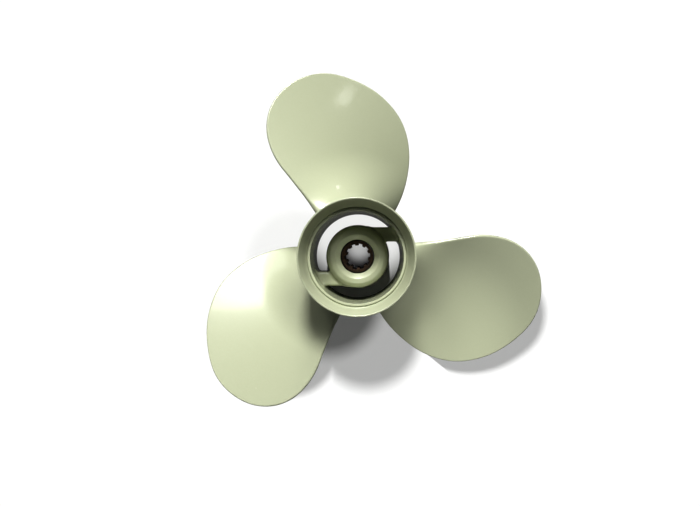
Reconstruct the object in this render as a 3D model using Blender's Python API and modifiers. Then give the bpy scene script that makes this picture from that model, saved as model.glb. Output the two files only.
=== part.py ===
# Three-bladed outboard motor propeller with a through-hub exhaust.
# Metres, +Z up. It stands on the front end of its inner hub, rear end up, shaft axis on Z.
# Seen from above, +X is to the right and the first blade points up, a little left of +Y.
import math

import bmesh
import bpy
import numpy as np

MM = 0.001

# heights along the shaft, in millimetres above the front end of the inner hub
BARREL_FRONT = 8.0
SPIGOT_SHOULDER = 66.0
BARREL_REAR = 73.0
MOUTH_HEIGHT = 85.0
HUB_REAR = 50.0
LIP_UNDERSIDE = 44.5
SLEEVE_FRONT = 0.6
SLEEVE_REAR = 47.6
RUBBER_FRONT = 2.2
RUBBER_REAR = 44.0

# radii, in millimetres
BARREL_OUTER = 31.8
BARREL_INNER_FRONT = 27.4
BARREL_INNER_REAR = 28.1
SPIGOT_RADIUS = 30.2
MOUTH_RADIUS = 35.3
LIP_CHAMFER = 0.9
RING_THROAT = 30.0
HUB_OUTER = 19.8
HUB_LIP_BORE = 10.5
HUB_CREST = 13.7
HUB_BORE = 15.8
RUBBER_OUTER = 15.5
RUBBER_INNER = 10.1
SLEEVE_OUTER = 9.8
SPLINE_MINOR = 6.95
SPLINE_MAJOR = 8.1
FIT_GAP = 0.15

# splines cut in the sleeve
SPLINE_COUNT = 10
SPLINE_GROOVE_WIDTH = 2.8
SPLINE_FIRST_GROOVE = 113.0

# the two webs between inner hub and barrel are thick upright blocks, set off the shaft axis
WEB_FRONT = 10.0
WEB_REAR = 44.0
WEB_THICKNESS = 8.9
WEB_OFFSET = 13.95
WEB_EDGE_ROUND = 1.6

# blades
BLADE_ANGLES = (98.0, 218.0, 338.0)
TIP_RADIUS = 117.5
ROOT_RADIUS = 29.8
PITCH = 203.2
BLADE_MID_HEIGHT = 40.5
ROOT_THICKNESS = 7.2
TIP_THICKNESS = 2.4
EDGE_SHARE = 0.28
FILLET_EXTRA = 3.2
FILLET_REACH = 2.4
SWEEP_START = 67.0  # inside this radius the blade curves up towards the barrel
SWEEP_RISE = 14.3  # of the rear face at the barrel's wall, in the middle of the blade
SWEEP_FOLLOW = 0.5  # share of it that the front face takes
# radius, leading edge and trailing edge in degrees from the middle of the blade
BLADE_OUTLINE = (
    (117.5, 5.5, 5.5),
    (112.0, -6.4, 17.9),
    (103.0, -16.7, 24.4),
    (90.0, -26.8, 29.3),
    (75.0, -34.5, 31.9),
    (60.0, -40.5, 32.2),
    (45.0, -46.0, 32.8),
    (29.8, -50.5, 35.0),
)
BLADE_ROWS = 15
BLADE_COLUMNS = 10
TIP_STOP = 0.06

TURN_STEPS = 64
SLEEVE_STEPS = 60

PAINT = ("pale_green_enamel", (0.56, 0.60, 0.44, 1.0), 0.0, 0.35)
BRONZE = ("brown_bronze", (0.30, 0.13, 0.05, 1.0), 0.9, 0.45)
RUBBER = ("black_rubber", (0.02, 0.02, 0.02, 1.0), 0.0, 0.8)


def clear_scene():
    for item in list(bpy.data.objects):
        bpy.data.objects.remove(item, do_unlink=True)


def new_collection(name):
    collection = bpy.data.collections.new(name)
    bpy.context.scene.collection.children.link(collection)
    return collection


def add_object(name, mesh, collection):
    item = bpy.data.objects.new(name, mesh)
    collection.objects.link(item)
    return item


def hide_cutter(item):
    item.hide_render = True
    item.display_type = 'WIRE'


def make_material(spec):
    name, colour, metallic, roughness = spec
    material = bpy.data.materials.new(name)
    material.use_nodes = True
    shader = material.node_tree.nodes["Principled BSDF"]
    shader.inputs["Base Color"].default_value = colour
    shader.inputs["Metallic"].default_value = metallic
    shader.inputs["Roughness"].default_value = roughness
    return material


def turned(name, profile, steps, collection):
    """A closed profile of radius and height pairs, turned about the shaft axis."""
    mesh = bpy.data.meshes.new(name)
    points = [(radius * MM, 0.0, height * MM) for radius, height in profile]
    edges = [(i, (i + 1) % len(points)) for i in range(len(points))]
    mesh.from_pydata(points, edges, [])
    item = add_object(name, mesh, collection)
    screw = item.modifiers.new("turn", 'SCREW')
    screw.axis = 'Z'
    screw.angle = 2.0 * math.pi
    screw.steps = steps
    screw.render_steps = steps
    screw.use_merge_vertices = True
    screw.merge_threshold = 0.00001
    screw.use_smooth_shade = True
    return item


def boolean(item, other, operation):
    modifier = item.modifiers.new(operation.lower() + "_" + other.name, 'BOOLEAN')
    modifier.operation = operation
    modifier.solver = 'EXACT'
    modifier.object = other


def smooth_through(stations_x, stations_y, x):
    """Cubic curve through the stations, with slopes taken from their neighbours."""
    slopes = np.gradient(stations_y, stations_x)
    place = np.clip(np.searchsorted(stations_x, x, side='right') - 1, 0, len(stations_x) - 2)
    x0 = stations_x[place]
    width = stations_x[place + 1] - x0
    t = (x - x0) / width
    y0 = stations_y[place]
    y1 = stations_y[place + 1]
    m0 = slopes[place] * width
    m1 = slopes[place + 1] * width
    rise = 2.0 * t**3 - 3.0 * t**2
    return (rise + 1.0) * y0 + (t**3 - 2.0 * t**2 + t) * m0 - rise * y1 + (t**3 - t**2) * m1


def blade_points(middle_angle):
    """Rows of closed sections from root to tip, each lying on a cylinder about the shaft."""
    outline = np.array(BLADE_OUTLINE)
    span = TIP_RADIUS - ROOT_RADIUS
    station_depth = np.sqrt((TIP_RADIUS - outline[:, 0]) / span)
    depth = np.linspace(1.0, TIP_STOP, BLADE_ROWS)
    radius = (TIP_RADIUS - span * depth**2)[:, None]
    lead = smooth_through(station_depth, outline[:, 1], depth)[:, None]
    trail = smooth_through(station_depth, outline[:, 2], depth)[:, None]

    across = 0.5 - 0.5 * np.cos(np.linspace(0.0, math.pi, BLADE_COLUMNS + 1))[None, :]
    degrees = lead + (trail - lead) * across
    slope = np.arctan2(PITCH, 2.0 * math.pi * radius)

    body = TIP_THICKNESS + (ROOT_THICKNESS - TIP_THICKNESS) * ((TIP_RADIUS - radius) / span)**1.2
    fillet = FILLET_EXTRA * np.exp(-np.maximum(radius - BARREL_OUTER, 0.0) / FILLET_REACH)
    bulge = (4.0 * across * (1.0 - across))**0.75
    thickness = body * (EDGE_SHARE + (1.0 - EDGE_SHARE) * bulge)

    inward = np.clip((SWEEP_START - radius) / (SWEEP_START - BARREL_OUTER), 0.0, 1.0)
    sweep = SWEEP_RISE * inward**2 * (4.0 * across * (1.0 - across))**0.8

    face_height = BLADE_MID_HEIGHT + PITCH * degrees / 360.0
    face_shift = fillet * 0.5
    back_shift = -thickness - fillet * 0.5
    rows = []
    for shift, share in ((face_shift + 0.0 * thickness, 1.0), (back_shift, SWEEP_FOLLOW)):
        angle = np.radians(degrees + middle_angle) - shift * np.sin(slope) / radius
        height = face_height + sweep * share + shift * np.cos(slope)
        rows.append(np.stack([radius * np.cos(angle), radius * np.sin(angle), height], axis=2))
    return np.concatenate([rows[0], rows[1][:, ::-1]], axis=1) * MM


def make_blade(name, middle_angle, collection):
    points = blade_points(middle_angle)
    rows, columns = points.shape[:2]
    mesh = bpy.data.meshes.new(name)
    faces = []
    for j in range(rows - 1):
        for i in range(columns):
            k = (i + 1) % columns
            faces.append((j * columns + i, j * columns + k, (j + 1) * columns + k, (j + 1) * columns + i))
    # both ends are closed across the thickness, so the root end keeps to its cylinder
    for start in (0, (rows - 1) * columns):
        for i in range(columns // 2 - 1):
            faces.append((start + i, start + i + 1, start + columns - 2 - i, start + columns - 1 - i))
    mesh.from_pydata(points.reshape(-1, 3).tolist(), [], faces)
    work = bmesh.new()
    work.from_mesh(mesh)
    bmesh.ops.recalc_face_normals(work, faces=work.faces)
    work.to_mesh(mesh)
    work.free()
    item = add_object(name, mesh, collection)
    hide_cutter(item)
    return item


def make_web_slab(name, turn, collection):
    """A block beside the shaft axis, before it is cut to the room between the walls."""
    mesh = bpy.data.meshes.new(name)
    work = bmesh.new()
    bmesh.ops.create_cube(work, size=1.0)
    reach = SPIGOT_RADIUS + 4.0
    for vertex in work.verts:
        x = (vertex.co.x + 0.5) * reach
        y = WEB_OFFSET + vertex.co.y * WEB_THICKNESS
        z = WEB_FRONT + (WEB_REAR - WEB_FRONT) * (vertex.co.z + 0.5)
        vertex.co.x = (x * math.cos(turn) - y * math.sin(turn)) * MM
        vertex.co.y = (x * math.sin(turn) + y * math.cos(turn)) * MM
        vertex.co.z = z * MM
    work.to_mesh(mesh)
    work.free()
    item = add_object(name, mesh, collection)
    bevel = item.modifiers.new("rounded_edges", 'BEVEL')
    bevel.width = WEB_EDGE_ROUND * MM
    bevel.segments = 3
    bevel.limit_method = 'ANGLE'
    bevel.angle_limit = math.radians(40.0)
    hide_cutter(item)
    return item


def make_web(name, turn, collection):
    inner = 0.5 * (HUB_OUTER + HUB_BORE)
    outer = 0.5 * (BARREL_OUTER + BARREL_INNER_FRONT)
    profile = (
        (outer, WEB_REAR + 3.0),
        (outer, WEB_FRONT - 1.0),
        (inner, WEB_FRONT - 1.0),
        (inner, WEB_REAR + 3.0),
    )
    web = turned(name, profile, TURN_STEPS, collection)
    boolean(web, make_web_slab(name + "_slab", turn, collection), 'INTERSECT')
    hide_cutter(web)
    return web


def make_inner_hub(collection):
    profile = (
        (HUB_CREST, HUB_REAR),
        (HUB_CREST + 1.4, HUB_REAR - 0.5),
        (HUB_OUTER - 2.5, HUB_REAR - 2.0),
        (HUB_OUTER - 1.1, HUB_REAR - 4.2),
        (HUB_OUTER - 0.2, HUB_REAR - 7.0),
        (HUB_OUTER, HUB_REAR - 10.0),
        (HUB_OUTER + 0.4, 1.0),
        (18.6, 0.0),
        (16.4, 0.0),
        (HUB_BORE, 0.7),
        (HUB_BORE, LIP_UNDERSIDE),
        (HUB_LIP_BORE, LIP_UNDERSIDE),
        (HUB_LIP_BORE, HUB_REAR - 2.0),
    )
    hub = turned("inner_hub", profile, TURN_STEPS, collection)
    hide_cutter(hub)
    return hub


def make_casting(collection, cutters):
    profile = (
        (SPIGOT_RADIUS, BARREL_REAR - LIP_CHAMFER),
        (SPIGOT_RADIUS, SPIGOT_SHOULDER),
        (BARREL_OUTER - 0.1, SPIGOT_SHOULDER),
        (BARREL_OUTER, 40.0),
        (BARREL_OUTER - 0.5, 12.0),
        (BARREL_OUTER - 1.2, BARREL_FRONT + 0.9),
        (BARREL_OUTER - 2.1, BARREL_FRONT),
        (BARREL_INNER_FRONT + 0.7, BARREL_FRONT),
        (BARREL_INNER_FRONT, BARREL_FRONT + 0.8),
        (BARREL_INNER_REAR, BARREL_REAR - 0.4),
        (BARREL_INNER_REAR + 0.25, BARREL_REAR),
        (SPIGOT_RADIUS - LIP_CHAMFER, BARREL_REAR),
    )
    casting = turned("propeller_casting", profile, TURN_STEPS, collection)
    boolean(casting, make_inner_hub(cutters), 'UNION')
    boolean(casting, make_web("web_right", 0.0, cutters), 'UNION')
    boolean(casting, make_web("web_left", math.pi, cutters), 'UNION')
    for number, angle in enumerate(BLADE_ANGLES, start=1):
        boolean(casting, make_blade("blade_%d" % number, angle, cutters), 'UNION')
    return casting


def make_diffuser_ring(collection):
    profile = (
        (MOUTH_RADIUS - 0.6, MOUTH_HEIGHT),
        (MOUTH_RADIUS - 0.1, MOUTH_HEIGHT - 0.4),
        (MOUTH_RADIUS, MOUTH_HEIGHT - 1.0),
        (34.4, 80.6),
        (33.1, 75.8),
        (32.2, 71.0),
        (BARREL_OUTER, SPIGOT_SHOULDER + FIT_GAP),
        (SPIGOT_RADIUS + FIT_GAP, SPIGOT_SHOULDER + FIT_GAP),
        (SPIGOT_RADIUS + FIT_GAP, BARREL_REAR + 0.3),
        (RING_THROAT, BARREL_REAR + 0.3),
        (RING_THROAT + 0.1, BARREL_REAR + 1.0),
        (30.9, 76.2),
        (32.3, 80.2),
        (33.7, 83.8),
        (MOUTH_RADIUS - 1.1, MOUTH_HEIGHT - 0.3),
    )
    return turned("diffuser_ring", profile, TURN_STEPS, collection)


def make_rubber_bush(collection):
    profile = (
        (RUBBER_OUTER - 0.8, RUBBER_REAR),
        (RUBBER_OUTER, RUBBER_REAR - 0.8),
        (RUBBER_OUTER, RUBBER_FRONT + 0.8),
        (RUBBER_OUTER - 0.8, RUBBER_FRONT),
        (RUBBER_INNER + 0.6, RUBBER_FRONT),
        (RUBBER_INNER, RUBBER_FRONT + 0.6),
        (RUBBER_INNER, RUBBER_REAR),
    )
    return turned("rubber_bush", profile, TURN_STEPS, collection)


def make_spline_grooves(collection):
    mesh = bpy.data.meshes.new("spline_grooves")
    work = bmesh.new()
    inner = SPLINE_MINOR - 0.7
    for number in range(SPLINE_COUNT):
        turn = math.radians(SPLINE_FIRST_GROOVE + 360.0 * number / SPLINE_COUNT)
        made = bmesh.ops.create_cube(work, size=1.0)
        for vertex in made["verts"]:
            x = inner + (vertex.co.x + 0.5) * (SPLINE_MAJOR - inner)
            y = vertex.co.y * SPLINE_GROOVE_WIDTH
            z = vertex.co.z * (SLEEVE_REAR + 20.0) + 0.5 * SLEEVE_REAR
            vertex.co.x = (x * math.cos(turn) - y * math.sin(turn)) * MM
            vertex.co.y = (x * math.sin(turn) + y * math.cos(turn)) * MM
            vertex.co.z = z * MM
    work.to_mesh(mesh)
    work.free()
    grooves = add_object("spline_grooves", mesh, collection)
    hide_cutter(grooves)
    return grooves


def make_splined_sleeve(collection, cutters):
    profile = (
        (SLEEVE_OUTER - 0.3, SLEEVE_REAR),
        (SLEEVE_OUTER, SLEEVE_REAR - 0.3),
        (SLEEVE_OUTER, SLEEVE_FRONT + 0.3),
        (SLEEVE_OUTER - 0.3, SLEEVE_FRONT),
        (SPLINE_MINOR + 0.5, SLEEVE_FRONT),
        (SPLINE_MINOR, SLEEVE_FRONT + 0.5),
        (SPLINE_MINOR, SLEEVE_REAR - 0.5),
        (SPLINE_MINOR + 0.5, SLEEVE_REAR),
    )
    sleeve = turned("splined_sleeve", profile, SLEEVE_STEPS, collection)
    boolean(sleeve, make_spline_grooves(cutters), 'DIFFERENCE')
    return sleeve


def finish(item, material):
    item.data.materials.append(material)
    smooth = item.modifiers.new("round_shading", 'WEIGHTED_NORMAL')
    smooth.keep_sharp = True


def main():
    clear_scene()
    pieces = new_collection("outboard_propeller")
    cutters = new_collection("cutters")
    paint = make_material(PAINT)
    ring_paint = make_material(("ring_enamel",) + PAINT[1:])
    bronze = make_material(BRONZE)
    rubber = make_material(RUBBER)
    finish(make_casting(pieces, cutters), paint)
    finish(make_diffuser_ring(pieces), ring_paint)
    finish(make_rubber_bush(pieces), rubber)
    finish(make_splined_sleeve(pieces, cutters), bronze)


main()
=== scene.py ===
# Outboard motor propeller in pale green enamel, rear end up on a pale floor.
# Shapes are worked out in millimetres; toMetres takes them to the frame's metres.
import math

import bmesh
import bpy
import numpy as np
from mathutils import Matrix, Vector


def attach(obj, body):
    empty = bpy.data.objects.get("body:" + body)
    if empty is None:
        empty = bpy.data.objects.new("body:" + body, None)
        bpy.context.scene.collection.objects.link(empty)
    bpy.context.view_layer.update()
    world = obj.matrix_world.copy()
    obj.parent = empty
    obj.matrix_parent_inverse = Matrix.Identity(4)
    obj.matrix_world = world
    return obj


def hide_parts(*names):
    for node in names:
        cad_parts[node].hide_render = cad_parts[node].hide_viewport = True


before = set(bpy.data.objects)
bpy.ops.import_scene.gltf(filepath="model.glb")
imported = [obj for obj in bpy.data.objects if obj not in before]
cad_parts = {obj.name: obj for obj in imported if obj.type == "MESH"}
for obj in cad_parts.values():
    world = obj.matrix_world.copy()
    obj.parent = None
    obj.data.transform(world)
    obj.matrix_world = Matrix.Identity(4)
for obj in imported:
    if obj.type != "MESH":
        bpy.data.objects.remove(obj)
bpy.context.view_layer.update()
toMetres = 0.001
tiny = 1e-9  # keeps a division from meeting nought
print("frame loaded:", len(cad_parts), "nodes")


cameraSetup = {
    "place": (8.97, 6.62, 685.0),  # nearly over the hub
    "look": (-0.0213, -0.00693, -1.0),
    "lens": 52.66,
    "sensor": 36.0,
    "clip": (0.01, 50.0),  # in metres
}


# The camera looks down with the frame's +Y up in the picture.
def addCamera(setup):
    data = bpy.data.cameras.new("overheadCamera")
    data.lens = setup["lens"]
    data.sensor_width = setup["sensor"]
    data.clip_start, data.clip_end = setup["clip"]
    camera = bpy.data.objects.new("overheadCamera", data)
    camera.location = Vector(setup["place"]) * toMetres
    back = -Vector(setup["look"]).normalized()
    right = Vector((0.0, 1.0, 0.0)).cross(back).normalized()
    camera.rotation_euler = Matrix((right, back.cross(right), back)).transposed().to_euler()
    bpy.context.scene.collection.objects.link(camera)
    bpy.context.scene.camera = camera


lightSetup = {
    "pieceLamps": (  # azimuth, elevation, strength, width in degrees and whether its mirror image shows
        ("mainLamp", 93.0, 42.0, 3.78, 13.0, True),
        ("highLamp", 90.0, 55.0, 0.5, 14.0, True),
        ("lowLamp", 90.0, 25.0, 0.65, 14.0, True),
        ("rightLamp", 65.0, 55.0, 0.8, 14.0, False),
        ("leftLamp", 120.0, 40.0, 0.5, 14.0, False),
        ("edgeLamp", 40.0, 30.0, 0.10, 24.0, False),
        ("nearLamp", 270.0, 30.0, 0.14, 24.0, False),
        ("nearLeftLamp", 225.0, 30.0, 0.14, 24.0, False),
        ("rootLamp", 56.0, 13.5, 0.04, 3.0, True),  # the glint at the top blade's root
        ("tipLamp", 19.2, 54.4, 0.032, 3.5, True),  # the soft spot near the top blade's tip
    ),
    "floorLamps": (  # the same, then the part of the floor that it lights and the pieces that shade it
        ("KeyLamp", 172.0, 78.5, 2.263, 7.0, "left floor", ("hub", "left blade")),
        ("KeyLamp", 96.5, 57.4, 2.632, 6.0, "middle floor", ("hub",)),
        ("KeyLamp", 118.0, 65.0, 2.447, 7.5, "right floor", ("hub", "right blade")),
        ("SecondLamp", 56.0, 66.0, 1.545, 8.0, "open floor", ("hub",)),
        ("SideLamp", 5.0, 64.0, 0.583, 8.0, "open floor", ("hub",)),
    ),
    "spots": (  # azimuth, elevation, aim in millimetres, power, cone in degrees, blend, lit part and shades
        ("PassageSpot", 90.0, 70.0, (1.5, 29.0, 0.0), 16.8, 9.4, 0.66, "passage floor", ("inner hub",)),
        ("BoreSpot", 315.0, 89.0, (0.5, 6.0, 0.0), 10.0, 2.25, 1.0, "middle floor", ()),
        ("Spot", 290.0, 50.0, (50.0, -42.0, 30.0), 6.0, 11.5, 1.0, "right blade", ()),
    ),
    "spotDistance": 0.6,
    "spotRadius": 0.004,
    "windows": (  # upright, one above the other, mirrored by the left blade: foot, head and glow
        ("windowLight", 1.36, 3.25, 9.0),
        ("sillLight", 0.05, 1.36, 2.6),
    ),
    "windowAzimuth": 109.5,
    "windowDistance": 2.0,
    "windowWidth": 1.2,
    "windowFrom": (-75.0, -20.0, 28.0),  # the spot on the blade that the windows are set out from
    "fillColour": (0.80, 0.90, 1.0, 1.0),
    "fillStrength": 0.025,
    "backdrop": (0.96, 0.96, 0.95, 1.0),
}


# Direction towards a lamp: cos e cos a, cos e sin a, sin e.
def towards(azimuth, elevation):
    a, e = math.radians(azimuth), math.radians(elevation)
    return Vector((math.cos(e) * math.cos(a), math.cos(e) * math.sin(a), math.sin(e)))


def addLight(name, kind, place, facing):
    data = bpy.data.lights.new(name, kind)
    lamp = bpy.data.objects.new(name, data)
    lamp.location = place
    lamp.rotation_euler = facing.to_track_quat('-Z', 'Y').to_euler()
    bpy.context.scene.collection.objects.link(lamp)
    return lamp


def addSun(name, azimuth, elevation, strength, width):
    direction = towards(azimuth, elevation)
    sun = addLight(name, 'SUN', direction, -direction)
    sun.data.energy = strength
    sun.data.angle = math.radians(width)
    return sun


# All surfaces of the named groups in one list.
def gather(things, names):
    return [surface for name in names for surface in things[name]]


# The lamp lights the receivers alone. Where shades are given, only they hold its light back.
def linkLight(lamp, receivers, shades=()):
    lit = bpy.data.collections.new(lamp.name + "Receivers")
    for surface in receivers:
        lit.objects.link(surface)
    lamp.light_linking.receiver_collection = lit
    if shades:
        shading = bpy.data.collections.new(lamp.name + "Shades")
        for surface in shades:
            shading.objects.link(surface)
        lamp.light_linking.blocker_collection = shading


# Every part of the floor has lamps of its own: one lamp linked to several parts that differ in
# their other lamps would lose some of its light.
def addLamps(setup, things):
    pieces = gather(things, [name for name in things if "floor" not in name])
    for name, azimuth, elevation, strength, width, mirrored in setup["pieceLamps"]:
        sun = addSun(name, azimuth, elevation, strength, width)
        sun.visible_glossy = mirrored
        linkLight(sun, pieces)
    for name, azimuth, elevation, strength, width, lit, shades in setup["floorLamps"]:
        for part in things[lit]:
            sun = addSun(part.name + name, azimuth, elevation, strength, width)
            sun.data.cycles.use_multiple_importance_sampling = False
            linkLight(sun, [part], gather(things, shades))
    for name, azimuth, elevation, aim, power, cone, blend, lit, shades in setup["spots"]:
        direction = towards(azimuth, elevation)
        place = Vector(aim) * toMetres + direction * setup["spotDistance"]
        for part in things[lit]:
            spot = addLight(part.name + name, 'SPOT', place, -direction)
            spot.data.energy = power
            spot.data.spot_size = math.radians(cone)
            spot.data.spot_blend = blend
            spot.data.shadow_soft_size = setup["spotRadius"]
            spot.visible_glossy = False
            linkLight(spot, [part], gather(things, shades))
    flat = towards(setup["windowAzimuth"], 0.0)
    for name, foot, head, glow in setup["windows"]:
        height = Vector((0.0, 0.0, 0.5 * (foot + head)))
        place = Vector(setup["windowFrom"]) * toMetres + flat * setup["windowDistance"] + height
        window = addLight(name, 'AREA', place, -flat)
        window.data.shape = 'RECTANGLE'
        window.data.size = setup["windowWidth"]
        window.data.size_y = head - foot
        window.data.energy = glow * math.pi * window.data.size * window.data.size_y
        window.visible_diffuse = False  # only its mirror image shows
        linkLight(window, pieces)


# An input takes a plain value, or a link where another node's socket is given.
def addNode(tree, kind, inputs=None, **settings):
    item = tree.nodes.new("ShaderNode" + kind)
    for name, value in settings.items():
        setattr(item, name, value)
    for name, value in (inputs or {}).items():
        if isinstance(value, bpy.types.NodeSocket):
            tree.links.new(value, item.inputs[name])
        else:
            item.inputs[name].default_value = value
    return item


# The camera sees the backdrop, and the propeller is lit and mirrored by the dim fill.
def addWorld(setup):
    world = bpy.data.worlds.new("softRoom")
    bpy.context.scene.world = world
    world.use_nodes = True
    tree = world.node_tree
    tree.nodes.clear()
    fill = addNode(tree, "Background", {"Color": setup["fillColour"], "Strength": setup["fillStrength"]})
    backdrop = addNode(tree, "Background", {"Color": setup["backdrop"]})
    seen = addNode(tree, "LightPath").outputs["Is Camera Ray"]
    room = addNode(tree, "MixShader", {0: seen, 1: fill.outputs[0], 2: backdrop.outputs[0]})
    addNode(tree, "OutputWorld", {"Surface": room.outputs[0]})


# Small helpers for the materials: noise, sums and products, a ramp held at 0 and top, a mixed colour.
def noise(tree, place, scale, detail):
    return addNode(tree, "TexNoise", {"Vector": place, "Scale": scale, "Detail": detail}).outputs[0]


def calculate(tree, operation, *values, **settings):
    return addNode(tree, "Math", dict(enumerate(values)), operation=operation, **settings).outputs[0]


def ramp(tree, value, low, high, top=1.0):
    return addNode(tree, "MapRange", {0: value, 1: low, 2: high, 3: 0.0, 4: top}).outputs[0]


def mixColours(tree, share, first, second):  # the Mix node's colours are its inputs 6 and 7
    return addNode(tree, "Mix", {0: share, 6: first, 7: second}, data_type='RGBA').outputs[2]


def readMask(tree, name):
    return addNode(tree, "Attribute", attribute_name=name).outputs["Fac"]


def newGroup(name, inputs, outputs):
    tree = bpy.data.node_groups.new(name, 'ShaderNodeTree')
    for socket, kind in inputs.items():
        tree.interface.new_socket(socket, in_out='INPUT', socket_type='NodeSocket' + kind)
    for socket, kind in outputs.items():
        tree.interface.new_socket(socket, in_out='OUTPUT', socket_type='NodeSocket' + kind)
    return tree, tree.nodes.new("NodeGroupInput").outputs, tree.nodes.new("NodeGroupOutput").inputs


def useGroup(tree, group, inputs):
    return addNode(tree, "Group", inputs, node_tree=group).outputs


# Sprayed skin: a soft ripple and a share of a finer one on top, as a height and as a mask.
def makeSprayGroup(fineShare=0.35):
    inputs = {"Place": 'Vector', "Ripple": 'Float', "Fine": 'Float'}
    tree, given, result = newGroup("sprayedSkin", inputs, {"Height": 'Float', "Mask": 'Float'})
    ripple = noise(tree, given["Place"], given["Ripple"], detail=2.0)
    fine = noise(tree, given["Place"], given["Fine"], detail=1.0)
    tree.links.new(calculate(tree, 'MULTIPLY_ADD', fine, fineShare, ripple), result["Height"])
    tree.links.new(ripple, result["Mask"])
    return tree


# Tone drift: the colour wanders between two tones, in wide clouds and small mottles. The share of
# the deeper tone is 0.5 + contrast * (clouds + mottles - 1), held between 0 and 1.
def makeToneGroup():
    inputs = {"Place": 'Vector', "Colour": 'Color', "Deeper": 'Color',
              "Clouds": 'Float', "Mottles": 'Float', "Contrast": 'Float'}
    tree, given, result = newGroup("toneDrift", inputs, {"Colour": 'Color'})
    clouds = noise(tree, given["Place"], given["Clouds"], detail=3.0)
    mottles = noise(tree, given["Place"], given["Mottles"], detail=2.0)
    centred = calculate(tree, 'ADD', calculate(tree, 'ADD', clouds, mottles), -1.0)
    share = calculate(tree, 'MULTIPLY_ADD', centred, given["Contrast"], 0.5, use_clamp=True)
    tree.links.new(mixColours(tree, share, given["Colour"], given["Deeper"]), result["Colour"])
    return tree


# Rubbed edges: the edge mask times noise and reach, so that it comes and goes along the edge.
def makeRubGroup(start=0.45, full=0.75):
    inputs = {"Place": 'Vector', "Edge": 'Float', "Patches": 'Float', "Reach": 'Float'}
    tree, given, result = newGroup("rubbedEdge", inputs, {"Mask": 'Float'})
    patches = noise(tree, given["Place"], given["Patches"], detail=4.0)
    worn = calculate(tree, 'MULTIPLY', patches, given["Reach"])
    together = calculate(tree, 'MULTIPLY', given["Edge"], worn)
    tree.links.new(ramp(tree, together, start, full), result["Mask"])
    return tree


# Settled dust: the larger of a soft film and small specks, times how far the face looks up.
def makeDustGroup(most=0.5):
    inputs = {"Place": 'Vector', "Patches": 'Float', "Specks": 'Float'}
    tree, given, result = newGroup("settledDust", inputs, {"Mask": 'Float'})
    normal = addNode(tree, "NewGeometry").outputs["Normal"]
    facing = ramp(tree, addNode(tree, "SeparateXYZ", {0: normal}).outputs["Z"], low=0.3, high=1.0)
    patches = noise(tree, given["Place"], given["Patches"], detail=4.0)
    film = ramp(tree, patches, low=0.40, high=0.75, top=most)
    cells = addNode(tree, "TexVoronoi", {"Vector": given["Place"], "Scale": given["Specks"]})
    specks = ramp(tree, cells.outputs["Distance"], low=0.16, high=0.08, top=most)
    dust = calculate(tree, 'MULTIPLY', calculate(tree, 'MAXIMUM', film, specks), facing)
    tree.links.new(dust, result["Mask"])
    return tree


sprayedSkin = makeSprayGroup()
toneDrift = makeToneGroup()
rubbedEdge = makeRubGroup()
settledDust = makeDustGroup()
print("node groups built")


def newMaterial(name):
    material = bpy.data.materials.new(name)
    material.use_nodes = True
    tree = material.node_tree
    tree.nodes.clear()
    shader = addNode(tree, "BsdfPrincipled")
    addNode(tree, "OutputMaterial", {"Surface": shader.outputs[0]})
    place = addNode(tree, "TexCoord").outputs["Object"]
    return material, tree, shader, place


# Each of these places one of the groups in a material, with the finish's own values.
def driftingTone(tree, place, finish):
    return useGroup(tree, toneDrift, {
        "Place": place, "Colour": finish["colour"], "Deeper": finish["deeper"],
        "Clouds": finish["clouds"], "Mottles": finish["mottles"], "Contrast": finish["contrast"],
    })["Colour"]


def rubbedMask(tree, place, finish):
    return useGroup(tree, rubbedEdge, {
        "Place": place, "Edge": readMask(tree, "edge"),
        "Patches": finish["rubPatches"], "Reach": finish["rubReach"],
    })["Mask"]


def dustMask(tree, place, finish):
    return useGroup(tree, settledDust, {
        "Place": place, "Patches": finish["dustPatches"], "Specks": finish["dustSpecks"],
    })["Mask"]


# The skin bumps the surface and gives back the roughness, which rises with the ripple.
def rippledSkin(tree, place, finish, shader):
    skin = useGroup(tree, sprayedSkin, {"Place": place, "Ripple": finish["ripple"], "Fine": finish["fine"]})
    bump = addNode(tree, "Bump", {"Height": skin["Height"], "Strength": finish["bump"],
                                  "Distance": finish["bumpDepth"]})
    tree.links.new(bump.outputs[0], shader.inputs["Normal"])
    return calculate(tree, 'MULTIPLY_ADD', skin["Mask"], finish["roughnessRise"], finish["roughness"])


enamelFinish = {
    "colour": (0.455, 0.48, 0.345, 1.0),
    "deeper": (0.437, 0.46, 0.325, 1.0),
    "bare": (0.16, 0.17, 0.13, 1.0),  # primer and metal under thin paint
    # painted shade: the dark green that inward corners and fillets are darkened towards
    "grime": (0.10, 0.105, 0.06, 1.0),
    "dust": (0.60, 0.60, 0.54, 1.0),
    "clouds": 14.0,
    "mottles": 900.0,
    "contrast": 1.0,
    "rubPatches": 120.0,
    "rubReach": 1.05,
    "rubShare": 0.75,
    "grimeShare": 0.45,
    "dustPatches": 40.0,
    "dustSpecks": 1500.0,
    "dustShare": 0.008,
    "dustRoughness": 0.01,
    "ripple": 260.0,
    "fine": 1300.0,
    "bump": 0.08,
    "bumpDepth": 0.0003,
    "roughness": 0.24,
    "roughnessRise": 0.04,
    "coat": 0.35,
    "coatRoughness": 0.07,
    "ior": 1.5,
}


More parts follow.
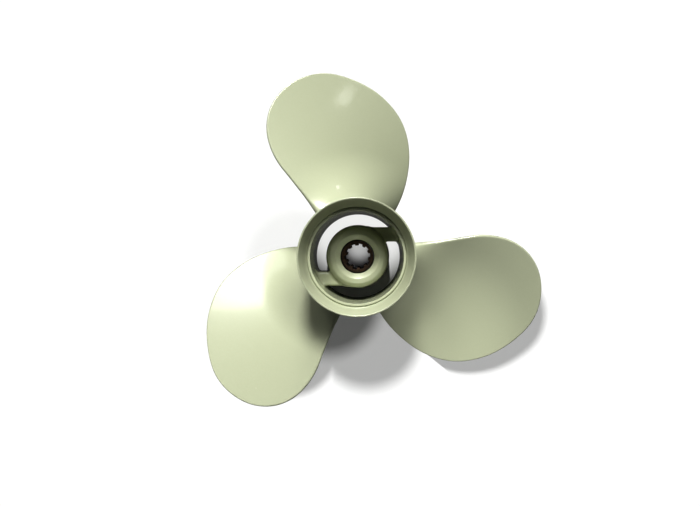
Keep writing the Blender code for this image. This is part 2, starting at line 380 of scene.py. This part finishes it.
def makeEnamel(name, shift):
    f = enamelFinish
    material, tree, shader, place = newMaterial(name)
    moved = addNode(tree, "Mapping", {"Vector": place, "Location": shift}).outputs[0]
    rub = calculate(tree, 'MULTIPLY', rubbedMask(tree, moved, f), f["rubShare"])
    # Painted shade: the nook mask darkens inward corners and the fillets of the webs and blades.
    grime = calculate(tree, 'MULTIPLY', readMask(tree, "nook"), f["grimeShare"])
    dust = dustMask(tree, moved, f)
    shadedTone = mixColours(tree, grime, driftingTone(tree, moved, f), f["grime"])
    rubbed = mixColours(tree, rub, shadedTone, f["bare"])
    dusty = mixColours(tree, calculate(tree, 'MULTIPLY', dust, f["dustShare"]), rubbed, f["dust"])
    tree.links.new(dusty, shader.inputs["Base Color"])
    rough = calculate(tree, 'MULTIPLY_ADD', dust, f["dustRoughness"], rippledSkin(tree, moved, f, shader))
    tree.links.new(rough, shader.inputs["Roughness"])
    shader.inputs["Coat Weight"].default_value = f["coat"]
    shader.inputs["Coat Roughness"].default_value = f["coatRoughness"]
    rippled = shader.inputs["Normal"].links[0].from_socket
    tree.links.new(rippled, shader.inputs["Coat Normal"])  # the clear top of the paint ripples too
    shader.inputs["IOR"].default_value = f["ior"]
    return material


bronzeFinish = {
    "colour": (0.060, 0.030, 0.011, 1.0),
    "deeper": (0.028, 0.015, 0.007, 1.0),
    "bright": (0.12, 0.07, 0.035, 1.0),
    "clouds": 120.0,
    "mottles": 700.0,
    "contrast": 2.2,
    "rubPatches": 500.0,
    "rubReach": 1.4,
    "rubShare": 0.6,
    "broachStretch": (1.0, 1.0, 0.02),  # marks drawn out along the bore
    "ripple": 1800.0,
    "fine": 5200.0,
    "bump": 0.35,
    "bumpDepth": 0.0002,
    "roughness": 0.43,
    "roughnessRise": 0.25,
    "metallic": 0.4,
}


def makeBronze(name):
    f = bronzeFinish
    material, tree, shader, place = newMaterial(name)
    rub = calculate(tree, 'MULTIPLY', rubbedMask(tree, place, f), f["rubShare"])
    tone = mixColours(tree, rub, driftingTone(tree, place, f), f["bright"])
    tree.links.new(tone, shader.inputs["Base Color"])
    drawn = addNode(tree, "Mapping", {"Vector": place, "Scale": f["broachStretch"]}).outputs[0]
    tree.links.new(rippledSkin(tree, drawn, f, shader), shader.inputs["Roughness"])
    shader.inputs["Metallic"].default_value = f["metallic"]
    return material


rubberFinish = {
    "colour": (0.022, 0.022, 0.022, 1.0),
    "deeper": (0.012, 0.012, 0.013, 1.0),
    "dust": (0.11, 0.105, 0.095, 1.0),
    "clouds": 90.0,
    "mottles": 600.0,
    "contrast": 2.0,
    "dustPatches": 160.0,
    "dustSpecks": 500.0,
    "dustShare": 0.5,
    "ripple": 900.0,
    "fine": 3600.0,
    "bump": 0.4,
    "bumpDepth": 0.0003,
    "roughness": 0.62,
    "roughnessRise": 0.2,
}


def makeRubber(name):
    f = rubberFinish
    material, tree, shader, place = newMaterial(name)
    dust = calculate(tree, 'MULTIPLY', dustMask(tree, place, f), f["dustShare"])
    tone = mixColours(tree, dust, driftingTone(tree, place, f), f["dust"])
    tree.links.new(tone, shader.inputs["Base Color"])
    tree.links.new(rippledSkin(tree, place, f, shader), shader.inputs["Roughness"])
    return material


enamel = makeEnamel("paleGreenEnamel", (0.0, 0.0, 0.0))
ringEnamel = makeEnamel("ringEnamel", (0.31, 0.17, 0.05))  # the same paint, with its pattern moved
bronze = makeBronze("brownBronze")
rubber = makeRubber("blackRubber")
print("materials made")


# A grid of points becomes a mesh of quads, one for each cell of four neighbours. Columns close on
# themselves. Rows close too, or both ends are zipped shut, point i to point -i across the thickness.
def addSurface(name, points, masks, closeRows, material):
    rowCount, columnCount = points.shape[:2]
    number = np.arange(rowCount * columnCount).reshape(rowCount, columnCount)
    below, above = (number, np.roll(number, -1, axis=0)) if closeRows else (number[:-1], number[1:])
    quads = np.stack([below, np.roll(below, -1, axis=1), np.roll(above, -1, axis=1), above], axis=-1)
    faces = quads.reshape(-1, 4).tolist()
    if not closeRows:
        half = columnCount // 2
        for end in (number[0], number[-1]):
            near, far = end[1:half], end[:half:-1]
            faces += np.stack([near[:-1], near[1:], far[1:], far[:-1]], axis=-1).tolist()
            faces += [[end[0], near[0], far[0]], [end[half], far[-1], near[-1]]]
    mesh = bpy.data.meshes.new(name)
    mesh.from_pydata(points.reshape(-1, 3) * toMetres, [], faces)
    work = bmesh.new()
    work.from_mesh(mesh)
    bmesh.ops.recalc_face_normals(work, faces=work.faces)
    work.to_mesh(mesh)
    work.free()
    mesh.polygons.foreach_set("use_smooth", np.ones(len(mesh.polygons), dtype=bool))
    for mask, values in masks.items():
        layer = mesh.attributes.new(mask, 'FLOAT', 'POINT')
        spread = np.broadcast_to(values, (rowCount, columnCount)).astype(np.float32)
        layer.data.foreach_set("value", spread.ravel())
    mesh.materials.append(material)
    piece = bpy.data.objects.new(name, mesh)
    bpy.context.scene.collection.objects.link(piece)
    return piece


# Each corner c of a closed outline gives way to the curve (1-t)^2 a + 2t(1-t) c + t^2 b, where a and b
# lie on its two sides at the rounding's distance. A point just outside each holds the sides flat.
# The masks are 4t(1-t) times the sine of the turn: edge on outward corners, nook on inward ones, which the
# enamel darkens as painted shade.
def roundedOutline(corners, steps=7, hold=1.25):
    corners = np.array(corners, dtype=float)
    spot, reach = corners[:, None, :2], corners[:, None, 2:3]
    before = np.roll(spot, 1, axis=0) - spot
    after = np.roll(spot, -1, axis=0) - spot
    before = before / np.linalg.norm(before, axis=2, keepdims=True)
    after = after / np.linalg.norm(after, axis=2, keepdims=True)
    t = np.linspace(0.0, 1.0, steps)[None, :, None]
    curve = (1 - t)**2 * (spot + before * reach) + 2 * t * (1 - t) * spot + t**2 * (spot + after * reach)
    curve = np.concatenate([spot + before * reach * hold, curve, spot + after * reach * hold], axis=1)
    ahead = np.roll(spot, -1, axis=0)
    handed = np.sign(np.sum(spot[..., 0] * ahead[..., 1] - ahead[..., 0] * spot[..., 1]))
    turn = handed * (before[..., 1] * after[..., 0] - before[..., 0] * after[..., 1])
    bend = np.concatenate([np.zeros(1), 4 * t[0, :, 0] * (1 - t[0, :, 0]), np.zeros(1)])[None, :]
    edge = np.clip(turn, 0.0, 1.0) * bend
    nook = np.clip(-turn, 0.0, 1.0) * bend
    return curve.reshape(-1, 2), edge.ravel(), nook.ravel()


# Points at even distances along a closed outline.
def evenlySpaced(outline, count):
    closed = np.vstack([outline, outline[:1]])
    along = np.concatenate([[0.0], np.cumsum(np.linalg.norm(np.diff(closed, axis=0), axis=1))])
    at = np.linspace(0.0, along[-1], count, endpoint=False)
    return np.stack([np.interp(at, along, closed[:, 0]), np.interp(at, along, closed[:, 1])], axis=1)


# A closed outline of radius and height goes round the shaft axis: x = radius cos a, y = radius sin a.
# The radius may also depend on the angle.
def turned(name, corners, material, turns=256, radiusChange=None):
    outline, edge, nook = roundedOutline(corners)
    angle = np.linspace(0.0, 2.0 * math.pi, turns, endpoint=False)[:, None]
    radius = outline[None, :, 0] + 0.0 * angle
    if radiusChange:
        radius = radiusChange(radius, angle)
    height = outline[None, :, 1] + 0.0 * angle
    points = np.stack([radius * np.cos(angle), radius * np.sin(angle), height], axis=2)
    return addSurface(name, points, {"edge": edge[None, :], "nook": nook[None, :]}, True, material)


# A fillet of radius f rises from nothing at distance f from the wall to f at the wall itself:
# f (1 - sqrt(1 - (1 - d/f)^2)).
def filletRise(distance, radius):
    share = 1.0 - np.clip(distance / radius, 0.0, 1.0)
    return radius * (1.0 - np.sqrt(np.clip(1.0 - share**2, 0.0, 1.0)))


# Outward normals of closed outlines, row by row: the chord between both neighbours, turned a quarter.
def outwardNormals(first, second):
    stepFirst = np.roll(first, -1, axis=-1) - np.roll(first, 1, axis=-1)
    stepSecond = np.roll(second, -1, axis=-1) - np.roll(second, 1, axis=-1)
    length = np.maximum(np.hypot(stepFirst, stepSecond), tiny)
    return -stepSecond / length, stepFirst / length


# The corners of a turned piece give radius, height and rounding. A wall that other surfaces meet,
# outer or inner, gives height and radius.
barrelShape = {
    "outer": ((12.0, 31.3), (40.0, 31.8), (66.0, 31.7)),
    "inner": ((8.8, 27.4), (72.6, 28.1)),
    "corners": (
        (29.35, 73.0, 0.15), (30.2, 72.1, 0.15), (30.2, 66.0, 0.1), (31.7, 66.0, 0.15), (31.8, 40.0, 3.0),
        (31.35, 12.0, 1.6), (30.4, 8.0, 1.6), (27.35, 8.0, 0.7), (27.4, 20.0, 2.0), (28.1, 73.0, 0.2),
    ),
}
barrel = turned("barrel", barrelShape["corners"], enamel)

hubShape = {
    "outer": ((1.0, 20.2), (40.0, 19.8), (43.0, 19.5)),
    "corners": (
        (13.8, 50.2, 0.55), (16.9, 49.1, 1.0), (19.1, 46.4, 1.2), (19.8, 40.0, 2.5), (20.2, 0.9, 0.4),
        (19.6, 0.0, 0.4), (15.8, 0.0, 0.5), (15.8, 44.5, 0.4), (10.5, 44.5, 0.25), (10.5, 48.2, 0.35),
    ),
}
innerHub = turned("inner_hub", hubShape["corners"], enamel)
print("barrel and inner hub made")


webShape = {
    "turns": (("web_right", 0.0), ("web_left", math.pi)),
    "front": 10.0,
    "rear": 44.0,
    "thickness": 8.9,
    "offset": 13.95,
    "rounding": 2.0,
    "roundingSteps": 9,
    "fillet": 1.8,
    "innerEnd": 18.0,  # radius inside the hub's wall
    "outerEnd": 29.6,  # radius inside the barrel's wall
    "around": 190,
    "along": 60,
}


# A block's rounded outline in y and z is carried along x, from the hub's wall to the barrel's.
# Near each wall it swells along its normal by the fillet's rise, less where it runs level with the wall.
def webPoints(turn):
    s = webShape
    near, far = s["offset"] - 0.5 * s["thickness"], s["offset"] + 0.5 * s["thickness"]
    block = ((near, s["front"]), (near, s["rear"]), (far, s["rear"]), (far, s["front"]))
    outline = roundedOutline([(y, z, s["rounding"]) for y, z in block], s["roundingSteps"])[0]
    outline = evenlySpaced(outline, s["around"])
    y, z = outline[:, 0], outline[:, 1]
    start = np.sqrt(np.clip(s["innerEnd"]**2 - y**2, 0.0, None))
    stop = np.sqrt(s["outerEnd"]**2 - y**2)
    share = (0.5 - 0.5 * np.cos(np.linspace(0.0, math.pi, s["along"])))[:, None]
    x = start + (stop - start) * share
    radius = np.hypot(x, y)
    hubHeights, hubRadii = np.array(hubShape["outer"]).T
    wallHeights, wallRadii = np.array(barrelShape["inner"]).T
    normalY, normalZ = outwardNormals(y, z)
    across = np.sqrt(np.clip(1.0 - (normalY * y / radius)**2, 0.0, 1.0))
    rise = filletRise(radius - np.interp(z, hubHeights, hubRadii), s["fillet"])
    rise = (rise + filletRise(np.interp(z, wallHeights, wallRadii) - radius, s["fillet"])) * across
    y, z = y + normalY * rise, z + normalZ * rise
    turnedX = x * math.cos(turn) - y * math.sin(turn)
    turnedY = x * math.sin(turn) + y * math.cos(turn)
    # nook: painted shade along the fillets against the hub and the barrel
    nook = np.clip(rise / s["fillet"], 0.0, 1.0)**2
    return np.stack([turnedX, turnedY, z], axis=2), {"nook": nook, "edge": 0.0}


webs = [addSurface(name, *webPoints(turn), False, enamel) for name, turn in webShape["turns"]]
print("webs made:", len(webs))


bladeShape = {
    "middleAngles": (98.0, 218.0, 338.0),
    "tipRadius": 117.5,
    "rootRadius": 29.8,
    "rootInset": 0.2,  # how far inside the barrel's wall the fillet's rows begin
    "pitch": 203.2,
    "middleHeight": 40.5,
    "rootThickness": 7.6,
    "tipThickness": 2.4,
    "taperPower": 1.2,
    "bellyPower": 0.8,
    "rootEdge": 1.15,  # half the thickness of the rounded edge
    "tipEdge": 0.8,
    "edgeReach": 1.5,  # of the rubbed edge, in rounded edges
    "filletMiddle": 7.0,
    "filletEdge": 2.4,
    "filletPower": 0.7,
    # how strongly the enamel paints shade into the root fillet
    "filletDirt": 0.25,
    "sweepStart": 67.0,  # inside this radius the blade curves up towards the barrel
    "sweepRise": 14.3,
    "sweepPower": 0.8,
    "sweepFollow": 0.5,  # share of it that the front face takes
    "outline": (  # radius, then degrees of leading and trailing edge from the middle of the blade
        (117.5, 5.5, 5.5), (112.0, -6.4, 17.9), (103.0, -16.7, 24.4), (90.0, -26.8, 29.3),
        (75.0, -34.5, 31.9), (60.0, -40.5, 32.2), (45.0, -46.0, 32.8), (29.8, -50.5, 35.0),
    ),
    "filletRows": 16,
    "rows": 70,
    "columns": 64,
    "tipStop": 0.015,
}


# A cubic curve through stations, with slopes taken from their neighbours.
def smoothThrough(stationX, stationY, x):
    slopes = np.gradient(stationY, stationX)
    k = np.clip(np.searchsorted(stationX, x, side='right') - 1, 0, len(stationX) - 2)
    width = stationX[k + 1] - stationX[k]
    t = (x - stationX[k]) / width
    rise = 2.0 * t**3 - 3.0 * t**2
    bend = (t**3 - 2.0 * t**2 + t) * slopes[k] + (t**3 - t**2) * slopes[k + 1]
    return (rise + 1.0) * stationY[k] - rise * stationY[k + 1] + bend * width


# 0 at both edges of a section and 1 midway: 4 a (1 - a), raised to a power.
def hump(across, power):
    return (4.0 * across * (1.0 - across))**power


# Each row is a closed section on a cylinder of its radius. Its rear face is the screw surface,
# height = middle + pitch * degrees / 360, plus a sweep that rises with the square of the way in from
# its start. Its thickness lies on the front side. The edge is rounded by the distance from the
# outline, and the root swells into the barrel with a fillet.
def bladePoints(middleAngle):
    s = bladeShape
    outline = np.array(s["outline"])
    span = s["tipRadius"] - s["rootRadius"]
    wallHeights, wallRadii = np.array(barrelShape["outer"]).T
    swell = np.linspace(0.0, 0.5 * math.pi, s["filletRows"])
    nearRoot = wallRadii.min() - s["rootInset"] + s["filletMiddle"] * (1.0 - np.cos(swell))
    depth = np.linspace(math.sqrt((s["tipRadius"] - nearRoot[-1]) / span), s["tipStop"], s["rows"])
    radius = np.concatenate([[s["rootRadius"]], nearRoot, s["tipRadius"] - span * depth[1:]**2])[:, None]
    depth = np.sqrt((s["tipRadius"] - radius) / span)
    stations = np.sqrt((s["tipRadius"] - outline[:, 0]) / span)
    lead = smoothThrough(stations, outline[:, 1], depth)
    trail = smoothThrough(stations, outline[:, 2], depth)

    # the screw surface, rear face first and then back along the front
    across = 0.5 - 0.5 * np.cos(np.linspace(0.0, math.pi, s["columns"] + 1))[None, :]
    across = np.concatenate([across, across[:, -2:0:-1]], axis=1)
    isFront = np.arange(across.shape[1])[None, :] > s["columns"]
    degrees = lead + (trail - lead) * across
    slope = np.arctan2(s["pitch"], 2.0 * math.pi * radius)
    arc = radius * np.radians(degrees)
    inward = np.clip((s["sweepStart"] - radius) / (s["sweepStart"] - wallRadii.max()), 0.0, 1.0)
    sweep = s["sweepRise"] * inward**2 * hump(across, s["sweepPower"])
    sweep = sweep * np.where(isFront, s["sweepFollow"], 1.0)
    height = s["middleHeight"] + s["pitch"] * degrees / 360.0 + sweep

    # distances a and b from both edges, square to the outline, as one: a b / sqrt(a^2 + b^2)
    fromEdges = []
    for limit in (lead, trail):
        limitArc = radius * np.radians(limit)
        lean = np.gradient(limitArc[:, 0], radius[:, 0])[:, None]
        fromEdges.append(np.abs(arc - limitArc) / np.cos(slope) / np.sqrt(1.0 + lean**2))
    fromEdge = fromEdges[0] * fromEdges[1] / np.maximum(np.hypot(*fromEdges), tiny)

    # thickness, set off square to the screw surface
    outward = (s["tipRadius"] - radius) / span
    halfEdge = s["tipEdge"] + (s["rootEdge"] - s["tipEdge"]) * outward
    body = s["tipThickness"] + (s["rootThickness"] - s["tipThickness"]) * outward**s["taperPower"]
    belly = np.maximum(body - 2.0 * halfEdge, 0.0) * hump(across, s["bellyPower"])
    roundOff = np.sqrt(1.0 - (1.0 - np.clip(fromEdge / halfEdge, 0.0, 1.0))**2)
    shift = np.where(isFront, -halfEdge * (1.0 + roundOff) - belly, -halfEdge * (1.0 - roundOff))
    arc = arc - shift * np.sin(slope)
    height = height + shift * np.cos(slope)

    # fillet at the root
    fillet = s["filletEdge"] + (s["filletMiddle"] - s["filletEdge"]) * hump(across, s["filletPower"])
    rise = filletRise(radius - np.interp(height, wallHeights, wallRadii), fillet)
    normalArc, normalHeight = outwardNormals(arc, height)
    arc = arc + normalArc * rise
    height = height + normalHeight * rise
    angle = arc / radius + math.radians(middleAngle)
    points = np.stack([radius * np.cos(angle), radius * np.sin(angle), height], axis=2)
    edge = np.clip(1.0 - fromEdge / (s["edgeReach"] * halfEdge), 0.0, 1.0)
    # nook: painted shade deepening into the root fillet
    return points, {"edge": edge, "nook": s["filletDirt"] * (rise / fillet)**3}


blades = [addSurface("blade_%d" % count, *bladePoints(middleAngle), False, enamel)
          for count, middleAngle in enumerate(bladeShape["middleAngles"], start=1)]
print("blades made:", len(blades))


ringShape = {
    "corners": (
        (35.3, 85.0, 0.45), (34.4, 80.6, 1.8), (33.1, 75.8, 1.8), (32.2, 71.0, 1.8), (31.8, 66.15, 0.15),
        (30.35, 66.15, 0.1), (30.35, 72.9, 0.1), (30.0, 73.3, 0.12), (30.15, 74.2, 0.3), (30.9, 76.2, 0.8),
        (32.3, 80.2, 1.6), (34.3, 85.0, 0.4),
    ),
}
ring = turned("rear_ring", ringShape["corners"], ringEnamel)

bushShape = {
    "turns": 160,
    "corners": (
        (15.5, 44.0, 0.7), (15.5, 2.2, 0.7), (10.1, 2.2, 0.6), (10.1, 44.0, 0.5),
    ),
}
bush = turned("bush", bushShape["corners"], rubber, bushShape["turns"])

sleeveShape = {
    "turns": 720,
    "grooves": 10,
    "firstGroove": 113.0,  # degrees, as are the next two
    "grooveHalfWidth": 10.7,
    "flank": 2.4,  # what a tooth's side takes
    "grooveDepth": 1.15,
    "toothRadius": 6.95,
    "flatRadius": 9.3,
    "corners": (
        (9.8, 47.6, 0.3), (9.8, 0.6, 0.3), (6.95, 0.6, 0.4), (6.95, 47.6, 0.4),
    ),
}


# A groove's share is 1 inside its half width and falls to 0 over the flank. The bore takes the whole
# depth and the end faces less the further out they are.
def splined(radius, angle):
    s = sleeveShape
    pitchAngle = 360.0 / s["grooves"]
    offset = (np.degrees(angle) - s["firstGroove"] + 0.5 * pitchAngle) % pitchAngle - 0.5 * pitchAngle
    share = np.clip((s["grooveHalfWidth"] - np.abs(offset)) / s["flank"] + 0.5, 0.0, 1.0)
    share = share * share * (3.0 - 2.0 * share)
    hold = np.clip((s["flatRadius"] - radius) / (s["flatRadius"] - s["toothRadius"]), 0.0, 1.0)
    return radius + s["grooveDepth"] * share * hold


sleeve = turned("sleeve", sleeveShape["corners"], bronze, sleeveShape["turns"], splined)
print("ring, bush and sleeve made")


def finishPiece(piece, node):
    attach(piece, "root")
    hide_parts(node)


casting = [barrel, innerHub, *webs, *blades]
for piece in casting:
    finishPiece(piece, "propeller_casting")
finishPiece(ring, "diffuser_ring")
finishPiece(bush, "rubber_bush")
finishPiece(sleeve, "splined_sleeve")
print("pieces given to their nodes:", len(casting), "for the casting, one each for the others")


floorFinish = {
    "half": 6000.0,
    "leftCut": ((-17.4, 0.0),),  # left, middle and right part, so that each can have its own lamp
    "rightCut": ((64.0, -80.5), (46.0, -66.0), (37.5, -47.5), (27.4, -34.0), (36.0, 3.0), (84.0, 8.0)),
    "underHub": (20.6, 28.2),  # a round part lies over them, seen through the passages only
    "ringPoints": 96,
    "lift": 0.05,
    "colour": (0.78, 0.78, 0.775, 1.0),
    "deeper": (0.775, 0.775, 0.77, 1.0),
    "clouds": 3.0,
    "mottles": 200.0,
    "contrast": 1.0,
    "sentBack": (0.12, 0.12, 0.12, 1.0),  # what it throws back on the propeller is held low
    "roughness": 0.6,
    "specular": 0.0,
}


def makePaleFloor(f):
    material, tree, shader, place = newMaterial("paleFloor")
    seen = addNode(tree, "LightPath").outputs["Is Camera Ray"]
    tone = mixColours(tree, seen, f["sentBack"], driftingTone(tree, place, f))
    tree.links.new(tone, shader.inputs["Base Color"])
    shader.inputs["Roughness"].default_value = f["roughness"]
    shader.inputs["Specular IOR Level"].default_value = f["specular"]
    return material


# The open floor is a square cut in three by two lines that run from its near to its far side.
def openFloorShapes(f):
    half = f["half"]
    corners = (((-half, 0.0),), f["leftCut"], f["rightCut"], ((half, 0.0),))
    borders = [[(cut[0][0], -half), *cut, (cut[-1][0], half)] for cut in corners]
    shapes = {}
    for name, left, right in zip(("left", "middle", "right"), borders, borders[1:]):
        around = np.array(left[::-1] + right) * toMetres
        shapes[name] = np.pad(around, ((0, 0), (0, 1))).tolist(), [tuple(range(len(around)))]
    return shapes


# The floor under the passages is a flat ring: two circles of points, radius cos a and radius sin a.
def passageFloorShape(f):
    angle = np.linspace(0.0, 2.0 * math.pi, f["ringPoints"], endpoint=False)
    circles = [np.stack([radius * np.cos(angle), radius * np.sin(angle), 0.0 * angle + f["lift"]], axis=1)
               for radius in f["underHub"]]
    number = np.arange(len(angle))
    following = np.roll(number, -1)
    quads = np.stack([number, number + len(angle), following + len(angle), following], axis=1)
    return (np.concatenate(circles) * toMetres).tolist(), quads.tolist()


def addFloor(f):
    material = makePaleFloor(f)
    floors = []
    for name, (points, faces) in {**openFloorShapes(f), "passage": passageFloorShape(f)}.items():
        mesh = bpy.data.meshes.new(name + "Floor")
        mesh.from_pydata(points, [], faces)
        mesh.materials.append(material)
        floor = bpy.data.objects.new(name + "Floor", mesh)
        bpy.context.scene.collection.objects.link(floor)
        floors.append(floor)
    return floors


addCamera(cameraSetup)
leftFloor, middleFloor, rightFloor, passageFloor = addFloor(floorFinish)
topBlade, leftBlade, rightBlade = blades
addLamps(lightSetup, {
    "hub": [barrel, *webs, ring, bush],
    "inner hub": [innerHub, sleeve],
    "top blade": [topBlade],
    "left blade": [leftBlade],
    "right blade": [rightBlade],
    "open floor": [leftFloor, middleFloor, rightFloor],
    "left floor": [leftFloor],
    "middle floor": [middleFloor],
    "right floor": [rightFloor],
    "passage floor": [passageFloor],
})
addWorld(lightSetup)
bpy.context.scene.view_settings.view_transform = 'Standard'
bpy.context.scene.view_settings.gamma = 0.8  # the photo has deep shadows and burnt-out lights
print("floor, camera and light set")
